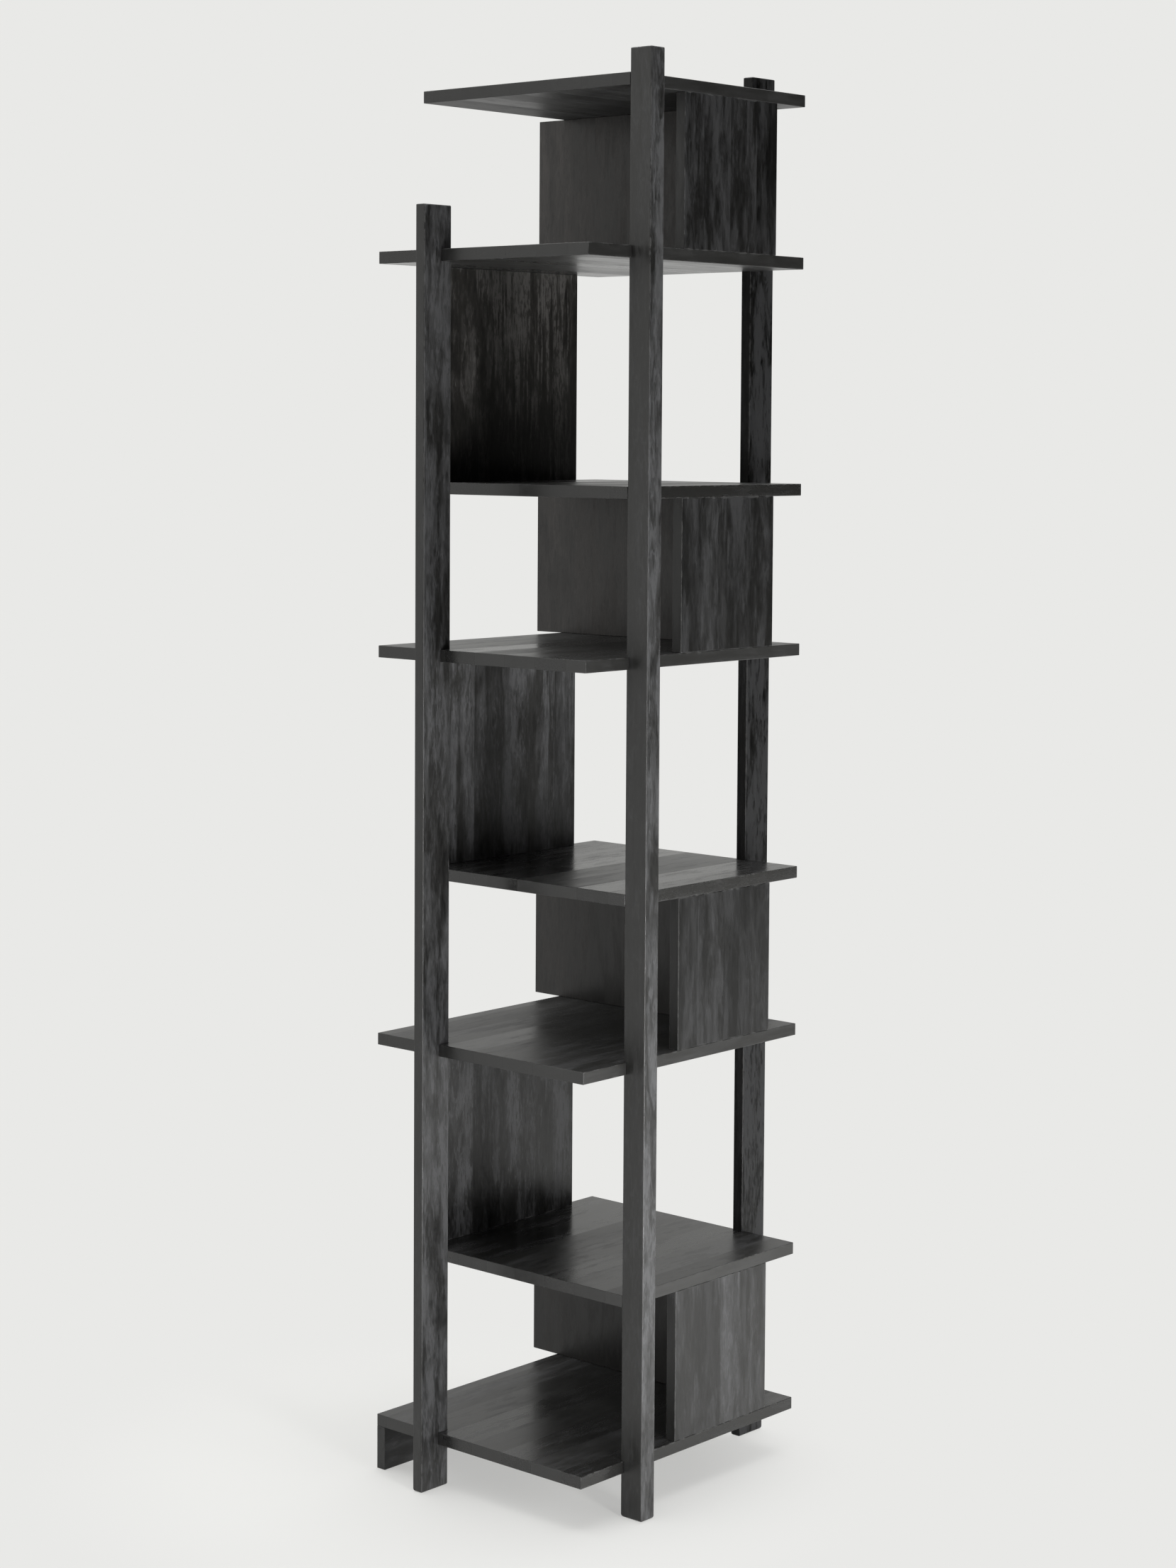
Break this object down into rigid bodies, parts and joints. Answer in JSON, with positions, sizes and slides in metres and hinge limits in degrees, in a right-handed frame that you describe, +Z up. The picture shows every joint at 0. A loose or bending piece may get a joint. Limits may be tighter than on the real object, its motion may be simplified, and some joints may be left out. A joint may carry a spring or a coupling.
{
  "type": "spine bookshelf",
  "caption": "Tall open bookcase in dark-stained wood: staggered wide and narrow shelves notched onto slim posts, with offset upright panels between them as a spine.",
  "frame": {"origin": "centre of the footprint's bounding box, on the floor", "axes": "+Z up; +X along the front right shelf edges, from the front corner towards the rear post; +Y along the front left edges, from the front corner towards the foot panel"},
  "size_m": [0.543, 0.472, 2],
  "materials": {
    "shelf_wood": "black-stained teak, satin varnish",
    "panel_wood": "black-stained teak, satin varnish",
    "post_wood": "black-stained teak, satin varnish",
    "tenon_wood": "bare hardwood"
  },
  "bodies": {
    "root": {"wide_shelf_1": "shelf_wood", "narrow_shelf_1": "shelf_wood", "right_panel_1": "panel_wood", "back_panel_1": "panel_wood", "wide_shelf_2": "shelf_wood", "narrow_shelf_2": "shelf_wood", "right_panel_2": "panel_wood", "back_panel_2": "panel_wood", "wide_shelf_3": "shelf_wood", "narrow_shelf_3": "shelf_wood", "right_panel_3": "panel_wood", "back_panel_3": "panel_wood", "wide_shelf_4": "shelf_wood", "narrow_shelf_4": "shelf_wood", "right_panel_4": "panel_wood", "back_panel_4": "panel_wood", "left_panel_1": "panel_wood", "left_panel_2": "panel_wood", "left_panel_3": "panel_wood", "foot_panel": "panel_wood", "front_post": "post_wood", "left_post": "post_wood", "rear_post": "post_wood", "right_panel_1_tenons": "tenon_wood", "back_panel_1_tenons": "tenon_wood", "right_panel_2_tenons": "tenon_wood", "back_panel_2_tenons": "tenon_wood", "right_panel_3_tenons": "tenon_wood", "back_panel_3_tenons": "tenon_wood", "right_panel_4_tenons": "tenon_wood", "back_panel_4_tenons": "tenon_wood", "left_panel_1_tenons": "tenon_wood", "left_panel_2_tenons": "tenon_wood", "left_panel_3_tenons": "tenon_wood", "foot_panel_tenons": "tenon_wood", "front_post_tenons": "tenon_wood", "left_post_tenons": "tenon_wood", "rear_post_tenons": "tenon_wood"}
  },
  "joints": []
}
